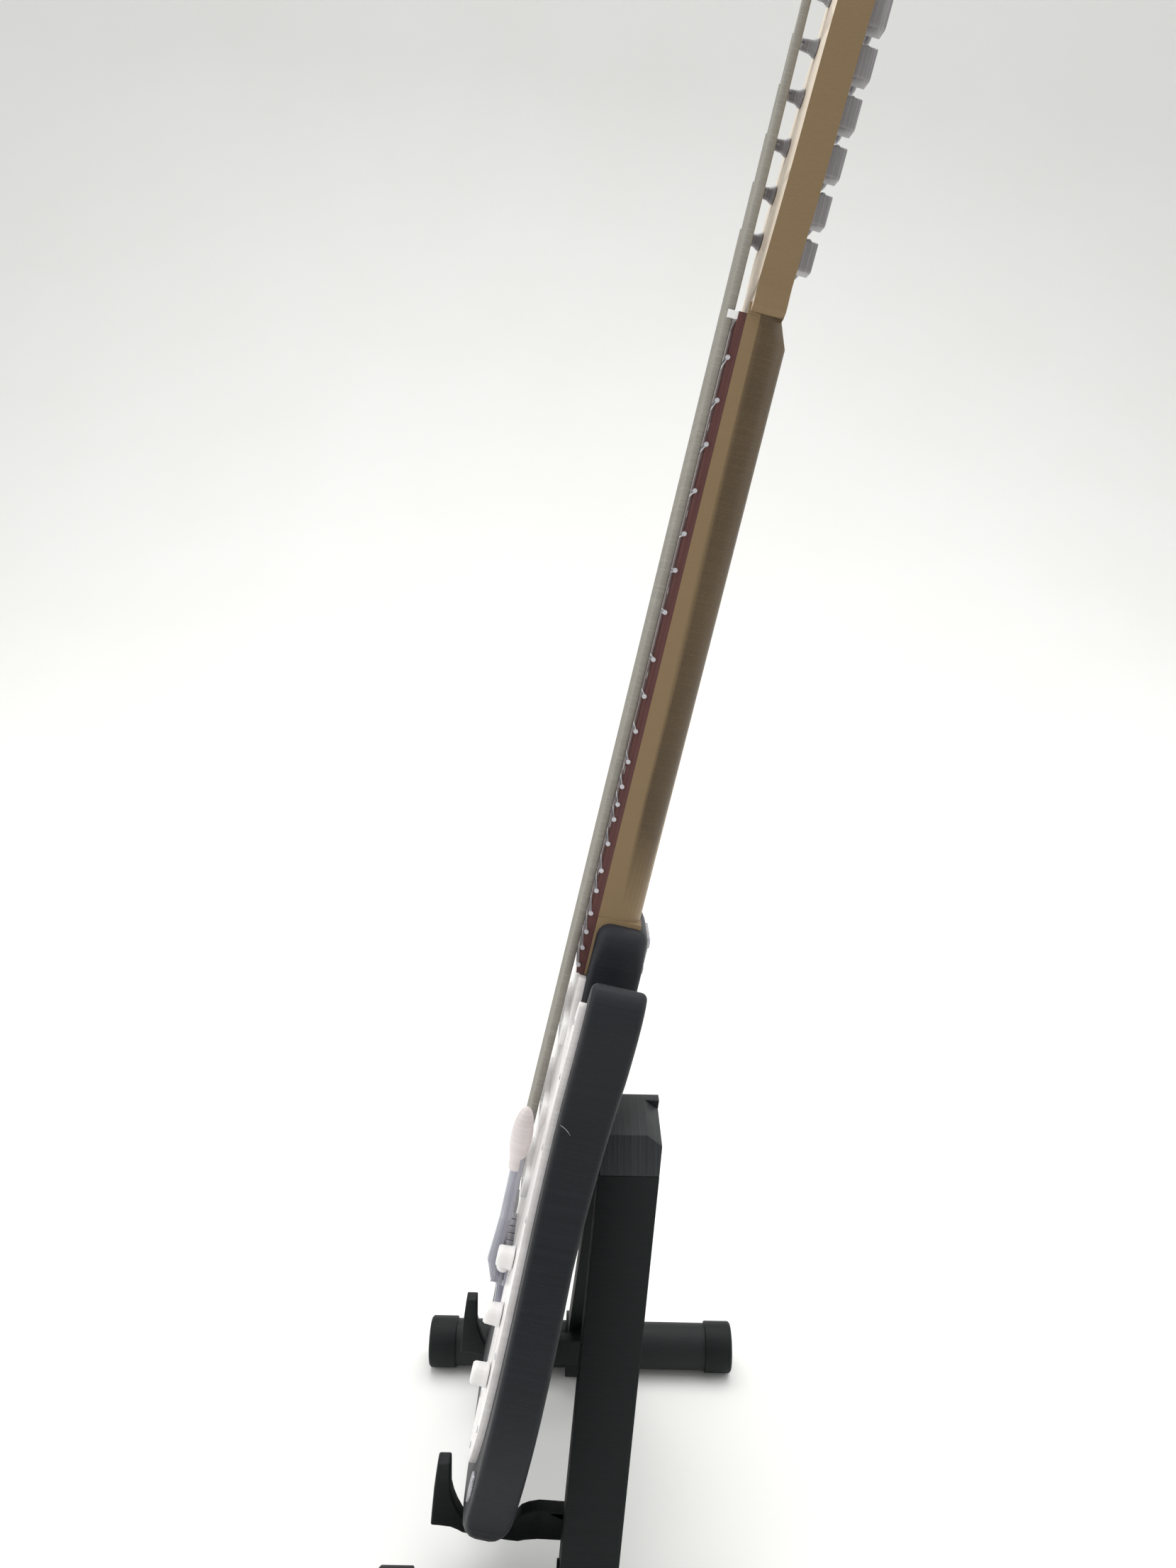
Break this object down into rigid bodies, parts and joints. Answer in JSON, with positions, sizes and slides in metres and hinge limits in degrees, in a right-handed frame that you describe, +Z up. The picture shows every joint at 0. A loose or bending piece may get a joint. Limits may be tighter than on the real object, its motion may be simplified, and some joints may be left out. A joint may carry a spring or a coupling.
{
  "type": "guitar on stand",
  "caption": "Miniature printed electric guitar with tremolo arm, knobs and tuners, leaning in an A-frame stand with cradle arms; the guitar lifts off.",
  "frame": {"origin": "on the floor, at the centre of the whole object's footprint box", "axes": "+Z up; -Y is the side the guitar's front faces; +X is the guitar's treble side"},
  "size_m": [0.0857, 0.0795, 0.2829],
  "materials": {
    "charcoal_plastic": "printed satin filament with fine layer lines",
    "gold_brown_plastic": "silky printed filament",
    "red_brown_plastic": "printed filament, matt",
    "silver_plastic": "silver filament",
    "white_plastic": "white filament, slightly translucent",
    "blue_grey_plastic": "blue grey filament",
    "grey_plastic": "grey filament",
    "olive_grey_plastic": "thin printed strips",
    "black_green_plastic": "printed matt filament"
  },
  "bodies": {
    "stand": {"stand_cap": "black_green_plastic", "leg_right": "black_green_plastic", "leg_left": "black_green_plastic", "cradle_right": "black_green_plastic", "cradle_left": "black_green_plastic", "foot_right": "black_green_plastic", "foot_left": "black_green_plastic", "foot_caps": "black_green_plastic"},
    "guitar": {"body": "charcoal_plastic", "neck": "gold_brown_plastic", "fretboard": "red_brown_plastic", "frets": "silver_plastic", "inlays": "white_plastic", "nut": "white_plastic", "pickguard": "white_plastic", "pickguard_screws": "silver_plastic", "pickup_neck": "white_plastic", "pickup_middle": "white_plastic", "pickup_bridge": "white_plastic", "bridge_plate": "blue_grey_plastic", "saddles": "silver_plastic", "string_1": "olive_grey_plastic", "string_2": "olive_grey_plastic", "string_3": "olive_grey_plastic", "string_4": "olive_grey_plastic", "string_5": "olive_grey_plastic", "string_6": "olive_grey_plastic", "jack_plate": "silver_plastic", "strap_buttons": "silver_plastic", "neck_plate": "silver_plastic", "neck_screws": "silver_plastic", "tuner_housings": "grey_plastic"},
    "tremolo_arm": {"tremolo_arm": "blue_grey_plastic", "arm_tip": "white_plastic"},
    "knob_volume": {"knob_volume": "white_plastic"},
    "knob_tone_upper": {"knob_tone_upper": "white_plastic"},
    "knob_tone_lower": {"knob_tone_lower": "white_plastic"},
    "selector": {"selector_lever": "silver_plastic", "selector_tip": "white_plastic"},
    "button_1": {"button_1": "grey_plastic"},
    "post_1": {"post_1": "grey_plastic"},
    "button_2": {"button_2": "grey_plastic"},
    "post_2": {"post_2": "grey_plastic"},
    "button_3": {"button_3": "grey_plastic"},
    "post_3": {"post_3": "grey_plastic"},
    "button_4": {"button_4": "grey_plastic"},
    "post_4": {"post_4": "grey_plastic"},
    "button_5": {"button_5": "grey_plastic"},
    "post_5": {"post_5": "grey_plastic"},
    "button_6": {"button_6": "grey_plastic"},
    "post_6": {"post_6": "grey_plastic"}
  },
  "joints": [
    {"name": "guitar_lift", "type": "slide", "parent": "stand", "child": "guitar", "axis": [0, 0.213, 0.977], "range_m": [0, 0.09]},
    {"name": "tremolo_swing", "type": "hinge", "parent": "guitar", "child": "tremolo_arm", "pos_m": [0.0106, -0.01998, 0.05155], "axis": [0, -0.977, 0.213], "range_deg": [-14, 8]},
    {"name": "knob_volume_turn", "type": "hinge", "parent": "guitar", "child": "knob_volume", "pos_m": [0.02, -0.01785, 0.06132], "axis": [0, -0.977, 0.213], "range_deg": [-150, 150]},
    {"name": "knob_tone_upper_turn", "type": "hinge", "parent": "guitar", "child": "knob_tone_upper", "pos_m": [0.0239, -0.01968, 0.05292], "axis": [0, -0.977, 0.213], "range_deg": [-150, 150]},
    {"name": "knob_tone_lower_turn", "type": "hinge", "parent": "guitar", "child": "knob_tone_lower", "pos_m": [0.0284, -0.02151, 0.04452], "axis": [0, -0.977, 0.213], "range_deg": [-150, 150]},
    {"name": "selector_rock", "type": "hinge", "parent": "guitar", "child": "selector", "pos_m": [0.0166, -0.01665, 0.05697], "axis": [1, 0, 0], "range_deg": [-14, 14]},
    {"name": "tuner_1_button", "type": "hinge", "parent": "guitar", "child": "button_1", "pos_m": [-0.00679, 0.02915, 0.23394], "axis": [-0.9981, -0.0596, 0.013], "continuous": true},
    {"name": "tuner_1_post", "type": "hinge", "parent": "guitar", "child": "post_1", "pos_m": [-0.00447, 0.02416, 0.23552], "axis": [0.061, -0.9718, 0.228], "continuous": true},
    {"name": "tuner_2_button", "type": "hinge", "parent": "guitar", "child": "button_2", "pos_m": [-0.00509, 0.03087, 0.24083], "axis": [-0.9981, -0.0596, 0.013], "continuous": true},
    {"name": "tuner_2_post", "type": "hinge", "parent": "guitar", "child": "post_2", "pos_m": [-0.00277, 0.02588, 0.24241], "axis": [0.061, -0.9718, 0.228], "continuous": true},
    {"name": "tuner_3_button", "type": "hinge", "parent": "guitar", "child": "button_3", "pos_m": [-0.00346, 0.03259, 0.24772], "axis": [-0.9981, -0.0596, 0.013], "continuous": true},
    {"name": "tuner_3_post", "type": "hinge", "parent": "guitar", "child": "post_3", "pos_m": [-0.00114, 0.0276, 0.2493], "axis": [0.061, -0.9718, 0.228], "continuous": true},
    {"name": "tuner_4_button", "type": "hinge", "parent": "guitar", "child": "button_4", "pos_m": [-0.00189, 0.03431, 0.25461], "axis": [-0.9981, -0.0596, 0.013], "continuous": true},
    {"name": "tuner_4_post", "type": "hinge", "parent": "guitar", "child": "post_4", "pos_m": [0.00043, 0.02932, 0.2562], "axis": [0.061, -0.9718, 0.228], "continuous": true},
    {"name": "tuner_5_button", "type": "hinge", "parent": "guitar", "child": "button_5", "pos_m": [-0.00038, 0.03602, 0.26151], "axis": [-0.9981, -0.0596, 0.013], "continuous": true},
    {"name": "tuner_5_post", "type": "hinge", "parent": "guitar", "child": "post_5", "pos_m": [0.00194, 0.03103, 0.26309], "axis": [0.061, -0.9718, 0.228], "continuous": true},
    {"name": "tuner_6_button", "type": "hinge", "parent": "guitar", "child": "button_6", "pos_m": [0.00106, 0.03773, 0.2684], "axis": [-0.9981, -0.0596, 0.013], "continuous": true},
    {"name": "tuner_6_post", "type": "hinge", "parent": "guitar", "child": "post_6", "pos_m": [0.00338, 0.03274, 0.26998], "axis": [0.061, -0.9718, 0.228], "continuous": true}
  ],
  "couplings": [
    {"joint": "tuner_1_post", "follows": "tuner_1_button", "ratio": 0.071429},
    {"joint": "tuner_2_post", "follows": "tuner_2_button", "ratio": 0.071429},
    {"joint": "tuner_3_post", "follows": "tuner_3_button", "ratio": 0.071429},
    {"joint": "tuner_4_post", "follows": "tuner_4_button", "ratio": 0.071429},
    {"joint": "tuner_5_post", "follows": "tuner_5_button", "ratio": 0.071429},
    {"joint": "tuner_6_post", "follows": "tuner_6_button", "ratio": 0.071429}
  ]
}
